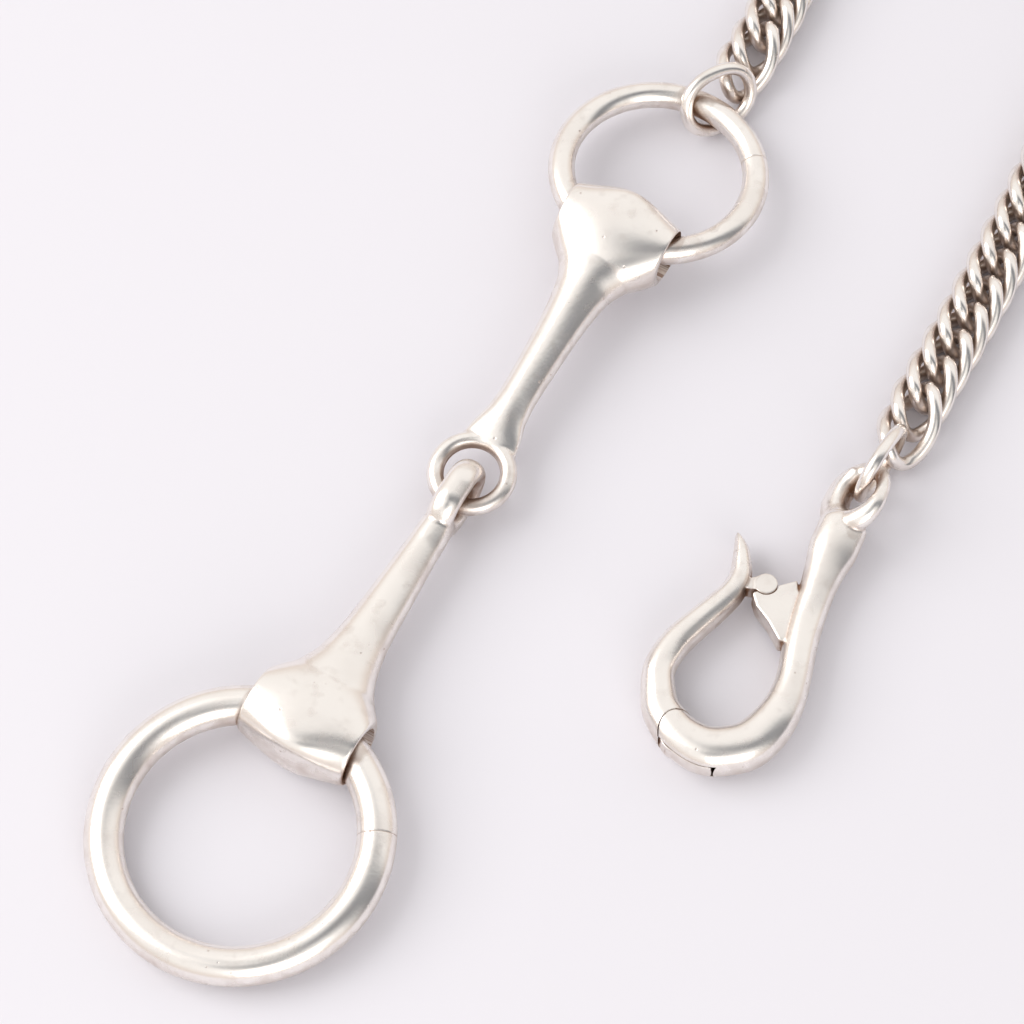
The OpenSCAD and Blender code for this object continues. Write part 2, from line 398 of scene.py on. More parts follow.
def maths(tree: NodeTree, operation: str, *values: object, clamp: bool = False) -> NodeSocket:
    """Return the result of one operation on numbers or sockets."""
    inputs = dict(enumerate(values))
    return add(tree, "ShaderNodeMath", inputs, operation=operation, use_clamp=clamp).outputs[0]


def spread(tree: NodeTree, value: NodeSocket, low: float, high: float, top: float = 1.0) -> NodeSocket:
    """Return a value that runs from 0 at low to top at high and is held outside."""
    inputs = {"Value": value, "From Min": low, "From Max": high, "To Max": top}
    return add(tree, "ShaderNodeMapRange", inputs).outputs["Result"]


def mixed(tree: NodeTree, share: NodeSocket, first: object, second: object) -> NodeSocket:
    """Return two colours mixed, by the share of the second."""
    inputs = {0: share, 6: first, 7: second}
    return add(tree, "ShaderNodeMix", inputs, data_type="RGBA").outputs[2]


def noise(tree: NodeTree, size: float, detail: float = 2.0, roughness: float = 0.5) -> NodeSocket:
    """Return noise over the piece whose largest features are about so many mm across."""
    place = add(tree, "ShaderNodeTexCoord").outputs["Object"]
    inputs = {"Vector": place, "Scale": 1 / (size * MM), "Detail": detail, "Roughness": roughness}
    return add(tree, "ShaderNodeTexNoise", inputs).outputs["Fac"]


def raised(
    tree: NodeTree, height: NodeSocket, strength: float, depth: float, below: NodeSocket | None = None
) -> NodeSocket:
    """Return normals that follow a height, up to a depth in mm, over those below if given."""
    inputs = {"Height": height, "Strength": strength, "Distance": depth * MM}
    if below is not None:
        inputs["Normal"] = below
    return add(tree, "ShaderNodeBump", inputs).outputs["Normal"]


@dataclass(frozen=True)
class SterlingSilver:
    """Sterling silver, cast or drawn and hand polished, then worn in a pocket.

    It gives the eye a warm white mirror that is slightly blurred, with brown tarnish left where a cloth
    can't reach and painted shade where other metal shelters it and on sideways walls, casting pits and
    fine scratches.
    """

    name: str
    clean: str = "#F8F3EE"
    tarnish_and_shade: str = "#97765F"
    haze: str = "#E9E2DC"
    roughness: float = 0.23
    tarnish_and_shade_reach: float = 1.0
    scratch_mm: float = 0.35
    pit_mm: float = 1.1
    wave_mm: float = 5.0
    wave_depth_mm: float = 0.05
    blotch_mm: float = 1.5
    haze_mm: float = 6.0
    clean_share: float = 0.8

    def material(self) -> Material:
        """Return the finish as a node material.

        Returns:
            The material.
        """
        finish = bpy.data.materials.new(self.name)
        finish.use_nodes = True
        tree = finish.node_tree
        shader = tree.nodes["Principled BSDF"]
        # The baked value is real tarnish plus painted shade from nearby metal, sideways walls and
        # hollows
        shade_and_tarnish = add(tree, "ShaderNodeAttribute", attribute_name="shade_and_tarnish").outputs["Fac"]
        # Blotches break up the tarnish and the painted shade
        blotched_tarnish_and_shade = maths(tree, "MULTIPLY_ADD", noise(tree, self.blotch_mm, 6.0), 0.55, shade_and_tarnish)
        tarnish_and_shade_share = spread(tree, blotched_tarnish_and_shade, 0.3, 1.15, self.tarnish_and_shade_reach)
        # Broad patches of haze, where the polish has dulled
        haze = spread(tree, noise(tree, self.haze_mm, 3.0), 0.45, 0.7, 0.5)
        clean = mixed(tree, haze, linear(self.clean), linear(self.haze))
        # Casting pits: the dark cores of a few cells
        place = add(tree, "ShaderNodeTexCoord").outputs["Object"]
        cells = add(tree, "ShaderNodeTexVoronoi", {"Vector": place, "Scale": 1 / (self.pit_mm * MM)})
        pit = spread(tree, cells.outputs["Distance"], 0.05, 0.14)
        lot = add(tree, "ShaderNodeSeparateColor", {0: cells.outputs["Color"]}).outputs[0]
        without = maths(tree, "LESS_THAN", lot, self.clean_share)
        whole = maths(tree, "MAXIMUM", pit, without)
        hole = maths(tree, "SUBTRACT", 1.0, whole)
        tarnish_shade_and_pits = maths(tree, "MULTIPLY_ADD", hole, 0.45, tarnish_and_shade_share, clamp=True)
        # Where the baked value is high, the brown paints both real tarnish and painted shade
        colour = mixed(tree, tarnish_shade_and_pits, clean, linear(self.tarnish_and_shade))
        tree.links.new(colour, shader.inputs["Base Color"])
        rough = maths(tree, "MULTIPLY_ADD", tarnish_shade_and_pits, 0.28, self.roughness)
        rougher = maths(tree, "MULTIPLY_ADD", haze, 0.12, rough)
        tree.links.new(rougher, shader.inputs["Roughness"])
        shader.inputs["Metallic"].default_value = 1.0
        # Hand filing leaves slow waves, and wear leaves a web of fine scratches
        waves = raised(tree, noise(tree, self.wave_mm, 1.0), 1.0, self.wave_depth_mm)
        scratches = raised(tree, noise(tree, self.scratch_mm, 4.0, 0.7), 0.35, 0.02, waves)
        pitted = raised(tree, whole, 0.5, 0.04, scratches)
        tree.links.new(pitted, shader.inputs["Normal"])
        return finish


@dataclass(frozen=True)
class DrawnSpringWire:
    """Bright drawn spring steel: an even grey whose shine varies finely."""

    name: str = "bright_drawn_spring_wire"
    colour: str = "#B9B9BC"
    grain_mm: float = 0.2

    def material(self) -> Material:
        """Return the finish as a node material.

        Returns:
            The material.
        """
        finish = bpy.data.materials.new(self.name)
        finish.use_nodes = True
        tree = finish.node_tree
        shader = tree.nodes["Principled BSDF"]
        rough = maths(tree, "MULTIPLY_ADD", noise(tree, self.grain_mm), 0.2, 0.2)
        tree.links.new(rough, shader.inputs["Roughness"])
        shader.inputs["Base Color"].default_value = linear(self.colour)
        shader.inputs["Metallic"].default_value = 1.0
        return finish


# ---------------------------------------------------------------- the piece bench


@dataclass
class Bench:
    """Dresses each finished piece, ties it to its body and keeps a list of them all."""

    finishes: dict = field(default_factory=dict)
    done: list = field(default_factory=list)
    reach_mm: float = 5.0
    rays: int = 7
    golden_angle: float = 2.39996
    clearance_mm: float = 0.04
    far_share: float = 0.6
    occlusion_shade_weight: float = 1.25
    side_shade_weight: float = 0.22

    def __post_init__(self) -> None:
        """Mix every finish once."""
        self.finishes = {
            Slot.BIT: SterlingSilver("cast_sterling_silver_hand_polished").material(),
            Slot.CHAIN: SterlingSilver(
                "drawn_sterling_silver_wire",
                # Brown for real tarnish and for painted shade between the links
                tarnish_and_shade="#AD917C",
                roughness=0.2,
                tarnish_and_shade_reach=0.62,
                pit_mm=1.6,
                wave_mm=2.2,
                wave_depth_mm=0.03,
            ).material(),
            Slot.CLASP: SterlingSilver(
                "cast_sterling_silver_clasp", roughness=0.25, wave_mm=3.5
            ).material(),
            Slot.PIN: SterlingSilver("sterling_silver_pin_dressed_flush", roughness=0.24).material(),
            Slot.SPRING: DrawnSpringWire().material(),
        }

    def lay_down(self, piece: Object, body: str, node: str, slot: Slot) -> None:
        """Dress a piece, tie it to its body and hide the solid that it stands for.

        Args:
            piece: the finished piece.
            body: the body it moves with.
            node: the solid it replaces.
            slot: the finish it wears.
        """
        piece.data.materials.clear()
        piece.data.materials.append(self.finishes[slot])
        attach(piece, body)
        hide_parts(node)
        self.done.append(piece)
        LOG.info("%s: %d faces on %s", piece.name, len(piece.data.polygons), body)

    def bake_tarnish_and_shade(self) -> None:
        """Write each piece's value of tarnish, where a polishing cloth can't reach, and of painted shade
        near other metal.
        """
        grounds, points, normals, faces, start = [], [], [], [], 0
        for piece in self.done:
            mesh = piece.data
            mesh.calc_loop_triangles()
            count = len(mesh.vertices)
            place, normal = np.empty(count * 3), np.empty(count * 3)
            mesh.vertices.foreach_get("co", place)
            mesh.vertices.foreach_get("normal", normal)
            points.append(place.reshape(-1, 3))
            normals.append(normal.reshape(-1, 3))
            corners = np.empty(len(mesh.loop_triangles) * 3, np.int64)
            mesh.loop_triangles.foreach_get("vertices", corners)
            faces.append(corners.reshape(-1, 3) + start)
            grounds.append((start, start + count))
            start += count
        place, normal, corners = np.vstack(points), np.vstack(normals), np.vstack(faces)
        tree = BVHTree.FromPolygons(place.tolist(), corners.tolist())
        # Painted shade: the share of the view that other metal blocks darkens the colour, as its shadow
        # would
        covered = self.shelter(tree, place, normal)
        # Painted shade: walls that face sideways are darkened more than the tops
        sides = self.side_shade_weight * np.clip(1 - np.abs(normal[:, 2]) * 1.6, 0, 1)
        for piece, (first, last) in zip(self.done, grounds):
            value = self.occlusion_shade_weight * covered[first:last] + sides[first:last]
            # Hollows add tarnish and painted shade
            value += self.hollow(piece.data, place[first:last])
            layer = piece.data.attributes.new("shade_and_tarnish", "FLOAT", "POINT")
            layer.data.foreach_set("value", np.clip(value, 0, 1).astype(np.float32))

    def shelter(self, tree: BVHTree, place: np.ndarray, normal: np.ndarray) -> np.ndarray:
        """Return how much of the view from each point other metal blocks, from 0 to 1.

        Args:
            tree: all the metal.
            place: the points, in metres.
            normal: the surface normals there.

        Returns:
            One value for each point.
        """
        reach = self.reach_mm * MM
        turn = np.arange(self.rays) * self.golden_angle
        lean = np.sqrt((np.arange(self.rays) + 0.5) / self.rays)
        side = np.cross(normal, np.where(np.abs(normal[:, 2:]) < 0.8, UP, np.array([1.0, 0, 0])))
        side /= np.maximum(np.linalg.norm(side, axis=1, keepdims=True), 1e-9)
        other = np.cross(normal, side)
        starts = (place + normal * self.clearance_mm * MM).tolist()
        blocked = np.zeros(len(place))
        for angle, sine in zip(turn, lean):
            ways = (
                sine * math.cos(angle) * side
                + sine * math.sin(angle) * other
                + math.sqrt(max(0.0, 1 - sine * sine)) * normal
            ).tolist()
            for i, (start, way) in enumerate(zip(starts, ways)):
                distance = tree.ray_cast(start, way, reach)[3]
                if distance is not None:
                    blocked[i] += 1 - self.far_share * distance / reach
        return blocked / self.rays

    @staticmethod
    def hollow(mesh: Mesh, points: np.ndarray) -> np.ndarray:
        """Return how hollow the surface is at each point, from 0 to 0.6.

        Args:
            mesh: the surface.
            points: its points, in metres.

        Returns:
            One value for each point.
        """
        edges = np.empty(len(mesh.edges) * 2, np.int64)
        mesh.edges.foreach_get("vertices", edges)
        a, b = edges.reshape(-1, 2).T
        normals = np.empty(len(points) * 3)
        mesh.vertices.foreach_get("normal", normals)
        normals = normals.reshape(-1, 3)
        total, count = np.zeros(len(points)), np.zeros(len(points))
        step = points[b] - points[a]
        size = np.maximum((step**2).sum(1), 1e-14)
        np.add.at(total, a, (step * normals[a]).sum(1) / size)
        np.add.at(total, b, (-step * normals[b]).sum(1) / size)
        np.add.at(count, a, 1)
        np.add.at(count, b, 1)
        bend = total / np.maximum(count, 1) * MM
        return np.clip(bend * 0.6, 0, 0.6)


# ---------------------------------------------------------------- rings


@dataclass
class LooseRing:
    """A ring of round wire, bent round and soldered at one seam."""

    node: str
    joint_name: str
    outside: float
    wire: float
    seam_turn: float
    bench: Bench
    ovalness: float = 0.035
    lobes: float = 0.02
    seam_depth: float = 0.045
    seam_width: float = 0.07
    wander: float = 0.012

    def build(self) -> None:
        """Make the ring where its solid lies."""
        low, high = (np.array(corner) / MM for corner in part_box(self.node))
        centre = (low + high) / 2
        hole, across = joint(self.joint_name)
        outwards = unit(centre - hole)
        normal = unit(np.cross(outwards, across))
        if normal[2] < 0:
            normal = -normal
        side = np.cross(normal, outwards)
        radius = (self.outside - self.wire) / 2
        seam = math.radians(self.seam_turn)
        near_seam = seam + np.linspace(-0.35, 0.35, 15) / radius
        turns = np.linspace(seam + 0.5 / radius, seam - 0.5 / radius + 2 * np.pi, 480)
        turns = np.sort(np.concatenate([near_seam, turns]))
        angle = around(48)
        # Hand bending leaves the ring very slightly out of true
        bent = radius + self.ovalness * np.cos(2 * turns + 1) + self.lobes * np.cos(3 * turns)
        gap = np.exp(-(((turns - seam) * radius / self.seam_width) ** 2))
        thick = self.wire / 2 - self.seam_depth * gap + self.wander * np.sin(5 * turns + 2)
        radial = np.cos(turns)[:, None] * outwards + np.sin(turns)[:, None] * side
        rings = (
            centre
            + (bent[:, None] + thick[:, None] * np.cos(angle)[None])[..., None] * radial[:, None]
            + (thick[:, None] * np.sin(angle)[None])[..., None] * normal
        )
        piece = into_place(skin(self.node + "_look", rings, closed=True), np.eye(4))
        self.bench.lay_down(piece, self.node, self.node, Slot.BIT)


# ---------------------------------------------------------------- mouthpiece halves


@dataclass
class TrumpetHalf:
    """One half of the mouthpiece: tapered shank, trumpet end and eye.

    Its own X runs along the shank from the middle joint, and its Y across. The barrel
    reaches from barrel_near to barrel_far, falls short by fall at its mouths, stands
    crown higher in the middle and spreads lead_in further into the shank there. Its
    middle lies axis_shift nearer the joint than the hole's.
    """

    node: str
    bench: Bench
    half_width: float = 6.0
    squareness: float = 0.96
    lead_in: float = 4.0
    crown: float = 0.5
    lip: float = 0.1
    lip_from: float = 0.985
    square_end: float = 0.42
    round_end: float = 0.95
    squared_to: float = 0.95
    axis_shift: float = 0.15
    mouth_drop: float = 0.05
    grain: float = 0.13
    soften: int = 14
    barrel_near: float = 28.75
    barrel_far: float = 36.6
    barrel_tall: float = 3.36
    fall: float = 0.85
    hole_at: float = 32.45
    hole_radii: tuple = (3.02, 2.98)
    rows: list = field(default_factory=list)

    def sections(self) -> np.ndarray:
        """Return the rings of points along the shank: ovals a little squarer than a circle.

        Returns:
            An array of rings, points and coordinates.
        """
        fine = smooth_rows(self.rows, 10)
        angle = around(96)
        return np.array(
            [
                np.stack(
                    [
                        np.full(len(angle), at),
                        wide * stretch_power(np.cos(angle), self.squareness),
                        tall * stretch_power(np.sin(angle), self.squareness),
                    ],
                    1,
                )
                for at, wide, tall in fine
            ]
        )

    def barrel(self) -> Object:
        """Return the barrel that the ring's hole runs through.

        Both mouths are round, and the middle squares up to an end wall.

        Returns:
            The barrel.
        """
        even = np.linspace(-self.squared_to, self.squared_to, 29)
        across = np.concatenate([[-1, -self.lip_from], even, [self.lip_from, 1]])
        angle = around(128)
        cos, sin = np.cos(angle), np.sin(angle)
        axis_at = self.hole_at - self.axis_shift
        rings = []
        for u in across:
            blend = min(abs(u) / self.squared_to, 1.0)
            blend = blend * blend * (3 - 2 * blend)
            middle = 1 - u * u
            round_off = self.lip * max(0.0, (abs(u) - self.lip_from) / (1 - self.lip_from))
            near = axis_at - self.barrel_near + self.lead_in * middle - round_off
            far = self.barrel_far - self.fall * u * u - axis_at - round_off
            end_power = self.square_end + (self.round_end - self.square_end) * blend
            power = np.where(cos > 0, end_power, self.round_end)
            x = axis_at + np.where(cos > 0, far, near) * stretch_power(cos, power)
            tall = self.barrel_tall - self.mouth_drop * blend - round_off
            z = (tall + np.where(sin > 0, self.crown * middle, 0)) * stretch_power(sin, power)
            rings.append(np.stack([x, np.full(len(angle), u * self.half_width), z], 1))
        return skin("barrel", np.array(rings))

    def eye(self) -> list:
        """Return the solids of the eye in the middle joint."""
        raise NotImplementedError

    def axes(self) -> np.ndarray:
        """Return the half's own axes in the frame."""
        raise NotImplementedError

    def build(self) -> None:
        """Cast the half, drill its hole and put it in place."""
        parts = [skin("shank", self.sections()), self.barrel()] + self.eye()
        piece = cast_together(self.node + "_look", parts, self.grain, self.soften)
        middle = np.array([self.hole_at, 0.0, 0.0])
        reach = np.array([0.0, self.half_width + 3, 0.0])
        cut(piece, cylinder("drill", middle - reach, middle + reach, self.hole_radii))
        into_place(piece, self.axes())
        self.bench.lay_down(piece, self.node, self.node, Slot.BIT)


@dataclass
class LowerHalf(TrumpetHalf):
    """The half that holds the large ring and hooks through the flat eye."""

    fold_at: float = 3.75
    loop_radius: float = 2.4
    loop_near: float = 4.3
    rod: tuple = (1.14, 1.5)

    def __post_init__(self) -> None:
        """Set the shank's rows: place, half width and half height."""
        self.rows = [
            [5.7, 1.25, 1.3],
            [6.3, 1.55, 1.85],
            [7.2, 1.72, 2.05],
            [8.4, 1.82, 2.0],
            [10.0, 1.88, 1.93],
            [15, 2.2, 2.05],
            [21, 2.65, 2.35],
            [24.6, 3.4, 2.75],
            [26.2, 4.1, 2.98],
            [27.7, 5.1, 3.15],
            [29.2, 5.9, 3.25],
            [30.4, 5.95, 3.28],
            [31.5, 5.7, 3.2],
        ]

    def axes(self) -> np.ndarray:
        """Lay the half from the fold to the large ring's hole.

        Returns:
            The matrix from the half's own axes to the frame's.
        """
        fold, _ = joint("mouthpiece_fold")
        hole, _ = joint("large_ring_turn")
        along = unit(hole - fold)
        return axes_matrix(fold - self.fold_at * along, along, np.cross(UP, along))

    def eye(self) -> list:
        """Return the upright loop.

        Returns:
            A list of its one solid.
        """
        radius = self.loop_radius
        turn = np.linspace(np.pi / 2, 3 * np.pi / 2, 24)
        far = np.stack([radius + radius * np.cos(turn), 0 * turn, radius * np.sin(turn)], 1)
        near = far * [-1, 1, -1] + [radius + self.loop_near, 0, 0]
        across = np.array([0, 1.0, 0])
        return [tube("loop", np.concatenate([far, near]), self.rod, side_axis=across)]


@dataclass
class UpperHalf(TrumpetHalf):
    """The half that holds the small ring and ends in the flat eye."""

    eye_radius: float = 3.75
    rod: float = 0.9

    def __post_init__(self) -> None:
        """Set the barrel, its hole and the shank's rows."""
        self.hole_at = 31.25
        self.hole_radii = (2.78, 2.75)
        self.barrel_near = 27.75
        self.barrel_far = 35.15
        self.barrel_tall = 3.1
        self.fall = 1.1
        self.rows = [
            [3.3, 3.1, 0.85],
            [5.2, 2.75, 1.3],
            [7.6, 2.15, 1.65],
            [10, 1.98, 1.78],
            [13, 2.05, 1.9],
            [19, 2.35, 2.15],
            [23.4, 3.0, 2.5],
            [25.2, 3.8, 2.75],
            [26.8, 4.9, 2.9],
            [28.4, 5.85, 3.0],
            [29.5, 5.95, 3.03],
            [30.6, 5.7, 2.95],
        ]

    def axes(self) -> np.ndarray:
        """Lay the half from the flat eye's middle to the small ring's hole.

        Returns:
            The matrix from the half's own axes to the frame's.
        """
        fold, _ = joint("mouthpiece_fold")
        lower, _ = joint("large_ring_turn")
        middle = fold - self.eye_radius * unit((lower - fold) * [1, 1, 0])
        hole, _ = joint("small_ring_turn")
        along = unit(hole - middle)
        return axes_matrix(middle, along, np.cross(UP, along))

    def eye(self) -> list:
        """Return the flat round eye.

        Returns:
            A list of its one solid.
        """
        turn = around(72)
        circle = self.eye_radius * np.stack([np.cos(turn), np.sin(turn), 0 * turn], 1)
        return [tube("flat_eye", circle, (self.rod, self.rod))]


# ---------------------------------------------------------------- chain


@dataclass
class WireLoops:
    """Curb links and plain oval links, bent from drawn wire.

    The pairs give a curb link's curve: its main swing, then the finer one that
    squares it up. The ovals are each a node, half its length and half its width.
    """

    bench: Bench
    wire: float = 1.46
    oval_wire: float = 1.38
    links: int = 50
    sides: int = 14
    oval_sides: int = 18
    oval_squareness: float = 0.9
    curb_long: tuple = (4.36, 0.14)
    curb_short: tuple = (2.35, -0.16)
    curb_twist: tuple = (-1.42, -0.14)
    ovals: tuple = (("ring_link", 4.03, 3.21), ("clasp_link", 4.13, 3.2))
    tree: NodeTree | None = None

    def wire_tree(self) -> NodeTree:
        """Build the node tree that draws a wire along a path.

        Returns:
            A tree with inputs for the path, the wire's diameter, its sides and the silver.
        """
        tree = bpy.data.node_groups.new("wire_along_path", "GeometryNodeTree")
        face = tree.interface
        face.new_socket("Path", in_out="INPUT", socket_type="NodeSocketGeometry")
        face.new_socket("Wire", in_out="INPUT", socket_type="NodeSocketFloat")
        face.new_socket("Sides", in_out="INPUT", socket_type="NodeSocketInt")
        face.new_socket("Silver", in_out="INPUT", socket_type="NodeSocketMaterial")
        face.new_socket("Link", in_out="OUTPUT", socket_type="NodeSocketGeometry")
        given = add(tree, "NodeGroupInput").outputs
        spine = add(tree, "GeometryNodeMeshToCurve", {"Mesh": given["Path"]}).outputs["Curve"]
        half = add(tree, "ShaderNodeMath", {0: given["Wire"], 1: 0.5}, operation="MULTIPLY").outputs[0]
        section = add(
            tree, "GeometryNodeCurvePrimitiveCircle", {"Resolution": given["Sides"], "Radius": half}
        ).outputs["Curve"]
        wire = add(
            tree, "GeometryNodeCurveToMesh", {"Curve": spine, "Profile Curve": section}
        ).outputs["Mesh"]
        real = add(tree, "GeometryNodeRealizeInstances", {"Geometry": wire}).outputs["Geometry"]
        dressed = add(
            tree, "GeometryNodeSetMaterial", {"Geometry": real, "Material": given["Silver"]}
        ).outputs["Geometry"]
        add(tree, "NodeGroupOutput", {"Link": dressed})
        return tree

    def draw(
        self, name: str, path: np.ndarray, wire: float, sides: int, slot: Slot, closed: bool = True
    ) -> Object:
        """Draw a wire along a path and return it as a plain piece.

        Args:
            name: the piece's name.
            path: the wire's middle, in mm in the frame.
            wire: the wire's diameter in mm.
            sides: points round the wire.
            slot: the finish it will wear.
            closed: False leaves the wire's ends apart, and open.

        Returns:
            The piece.
        """
        mesh = bpy.data.meshes.new(name)
        count = len(path)
        edges = [(i, (i + 1) % count) for i in range(count if closed else count - 1)]
        mesh.from_pydata([tuple(p * MM) for p in path], edges, [])
        piece = in_scene(name, mesh)
        bend = piece.modifiers.new("wire", "NODES")
        bend.node_group = self.tree
        inputs = [s for s in self.tree.interface.items_tree if s.in_out == "INPUT"]
        sockets = {s.name: s.identifier for s in inputs}
        bend[sockets["Wire"]] = wire * MM
        bend[sockets["Sides"]] = sides
        bend[sockets["Silver"]] = self.bench.finishes[slot]
        evaluated(piece)
        face_outwards(piece)
        return piece

    def measure(self, node: str) -> tuple[np.ndarray, np.ndarray]:
        """Find where a link's solid lies.

        Args:
            node: the link's node.

        Returns:
            Its middle in mm, and its long, short and upward axes as rows.
        """
        mesh = frame["nodes"][node].data
        points = np.array([v.co[:] for v in mesh.vertices]) / MM
        points = np.unique(points.round(4), axis=0)
        middle = points.mean(0)
        _, _, axes = np.linalg.svd(points - middle, full_matrices=False)
        up = axes[2] * (1 if axes[2][2] > 0 else -1)
        long = axes[0]
        return middle, np.array([long, np.cross(up, long), up])

    def curb_path(self, node: str) -> np.ndarray:
        """Return a curb link's wire middle: a flat oval whose two ends are twisted apart.

        Args:
            node: the link's node.

        Returns:
            The path's points, in mm.
        """
        t = around(56)
        x = self.curb_long[0] * np.cos(t) + self.curb_long[1] * np.cos(3 * t)
        y = self.curb_short[0] * np.sin(t) + self.curb_short[1] * np.sin(3 * t)
        z = self.curb_twist[0] * np.sin(2 * t) + self.curb_twist[1] * np.sin(4 * t)
        local = np.stack([x, y, z], 1)
        middle, axes = self.measure(node)
        return middle + local @ axes

    def oval_path(self, node: str, long_half: float, short_half: float) -> np.ndarray:
        """Return a plain link's wire middle.

        Args:
            node: the link's node.
            long_half: half its length.
            short_half: half its width.

        Returns:
            The path's points, in mm.
        """
        t = around(64)
        middle, axes = self.measure(node)
        x = long_half * stretch_power(np.cos(t), self.oval_squareness)
        y = short_half * stretch_power(np.sin(t), self.oval_squareness)
        oval = np.stack([x, y, 0 * t], 1)
        return middle + oval @ axes

    def build(self) -> None:
        """Make every link."""
        self.tree = self.wire_tree()
        for n in range(1, self.links + 1):
            node = f"chain_link_{n:02d}"
            piece = self.draw(node + "_look", self.curb_path(node), self.wire, self.sides, Slot.CHAIN)
            self.bench.lay_down(piece, node, node, Slot.CHAIN)
        for node, long_half, short_half in self.ovals:
            path = self.oval_path(node, long_half, short_half)
            piece = self.draw(node + "_look", path, self.oval_wire, self.oval_sides, Slot.CHAIN)
            self.bench.lay_down(piece, node, node, Slot.CHAIN)


# ---------------------------------------------------------------- clasp


@dataclass
class HookClasp:
    """The clasp: hook with eye and spur, sprung gate, pin and coil.

    Spans are heights above the table, from low to high.
    """

    bench: Bench
    loops: WireLoops
    eye_at: tuple = (35.12, -0.14, 3.75)
    eye_radius: float = 3.15
    eye_rod: float = 0.92
    eye_heading: float = 246.4
    eye_lean: float = 47
    boss: tuple = (25.45, -9.75)
    boss_radius: float = 1.17
    knuckle: float = 2.2
    squareness: float = 0.86
    tongue: tuple = (1.35, 3.45)
    slot_gap: float = 0.1
    slot_side: float = 0.15
    slot_turns: tuple = (-134, -8)
    slot_reach: float = 5.0
    pin_hole: float = 0.53
    pin_hole_top: float = 4.42
    fit: float = 0.12
    boss_span: tuple = (1.25, 3.65)
    pocket: float = 1.35
    pocket_floor: float = 2.15
    pin_heights: tuple = (0.2, 0.22, 0.3, 4.3, 4.37, 4.39)
    pin_radii: tuple = (0.36, 0.44, 0.5, 0.5, 0.44, 0.36)
    coil_radius: float = 0.95
    coil_wire: float = 0.28
    coil_foot: float = 2.43
    coil_rise: float = 0.74
    hinge: np.ndarray = field(init=False)
    hook_rows: list = field(init=False)
    flank_rows: list = field(init=False)
    gate_rows: list = field(init=False)

    def __post_init__(self) -> None:
        """Find the hinge and set both middle lines: place, x, y, z, half width, half height."""
        pin, _ = joint("gate_hinge")
        self.hinge = pin - LAYOUT
        hx, hy = self.hinge[:2]
        self.hook_rows = [
            [-1.2, 33.95, -2.4, 3.55, 1.7, 1.2],
            [0, 33.5, -3.3, 3.45, 2.45, 1.6],
            [3, 32.4, -5.6, 3.1, 2.5, 1.9],
            [6, 31.35, -8.1, 2.8, 2.05, 1.95],
            [9, 30.35, -10.8, 2.6, 1.8, 2.0],
            [12, 29.35, -13.6, 2.4, 1.8, 2.1],
            [15, 28.6, -16.5, 2.4, 1.75, 2.2],
            [18, 28.05, -19.3, 2.4, 1.75, 2.25],
            [21, 27.1, -22.2, 2.4, 1.95, 2.3],
            [24, 25.3, -25.0, 2.4, 2.25, 2.38],
            [27, 22.7, -27.05, 2.4, 2.4, 2.38],
            [30, 19.6, -27.45, 2.4, 2.4, 2.38],
            [33, hx, hy, 2.4, 2.2, 2.3],
            [35.3, 15.1, -23.9, 2.4, 2.0, 2.22],
        ]
        self.flank_rows = [
            [0, 31.9, -6.2, 2.9, 1.8, 1.7],
            [2, 32.3, -4.2, 2.6, 1.9, 1.65],
            [4.5, 32.65, -1.8, 2.1, 1.4, 1.5],
            [6.5, 33.0, 0.1, 1.9, 1.1, 1.35],
            [8.5, 33.8, 1.8, 2.2, 1.0, 1.15],
            [10, 34.9, 2.8, 3.1, 0.9, 0.9],
        ]
        self.gate_rows = [
            [-1.2, hx, hy, 2.4, 2.2, 2.3],
            [0, 15.75, -24.8, 2.4, 2.08, 2.25],
            [3, 14.55, -22.3, 2.4, 1.85, 2.15],
            [6, 14.45, -19.3, 2.4, 1.65, 2.05],
            [9, 16.0, -16.1, 2.4, 1.55, 2.0],
            [12, 18.2, -13.9, 2.4, 1.45, 1.95],
            [15, 20.5, -11.85, 2.4, 1.35, 1.9],
            [18, 22.4, -9.8, 2.4, 1.22, 1.85],
            [20, 23.1, -7.9, 2.4, 1.1, 1.75],
            [22, 23.15, -5.9, 2.4, 0.85, 1.55],
            [23.3, 22.95, -4.6, 2.4, 0.5, 1.3],
            [24.2, 22.75, -3.9, 2.4, 0.18, 1.0],
        ]

    @property
    def layout(self) -> np.ndarray:
        """The matrix from the layout's axes to the frame's.

        Returns:
            A plain shift, in mm.
        """
        matrix = np.eye(4)
        matrix[:3, 3] = LAYOUT
        return matrix

    def arm(self, name: str, rows: list, square: float) -> Object:
        """Sweep an arm along its middle line.

        Args:
            name: the solid's name.
            rows: the middle line's rows.
            square: how square the section is; 1 is an oval.

        Returns:
            The arm.
        """
        fine = smooth_rows(rows, 8)
        middle = fine[:, 1:3].copy()
        for _ in range(6):
            middle[1:-1] = (middle[:-2] + 2 * middle[1:-1] + middle[2:]) / 4
        ahead = np.gradient(middle, axis=0)
        ahead /= np.linalg.norm(ahead, axis=1, keepdims=True)
        angle = around(48)
        out = stretch_power(np.cos(angle), square)
        rise = stretch_power(np.sin(angle), square)
        rings = [
            np.stack([x + ahead_y * wide * out, y - ahead_x * wide * out, z + tall * rise], 1)
            for (x, y), (ahead_x, ahead_y), (z, wide, tall) in zip(middle, ahead, fine[:, 3:])
        ]
        return skin(name, np.array(rings))

    def from_hinge(self, points: list) -> list:
        """Move points that are measured from the hinge into the layout."""
        hx, hy = self.hinge[:2]
        return [(hx + x, hy + y) for x, y in points]

    def post(self, name: str, xy: tuple, radius: float, low: float, high: float) -> Object:
        """Make an upright post."""
        foot = np.array([xy[0], xy[1], 0.0])
        return cylinder(name, foot + low * UP, foot + high * UP, (radius, radius))

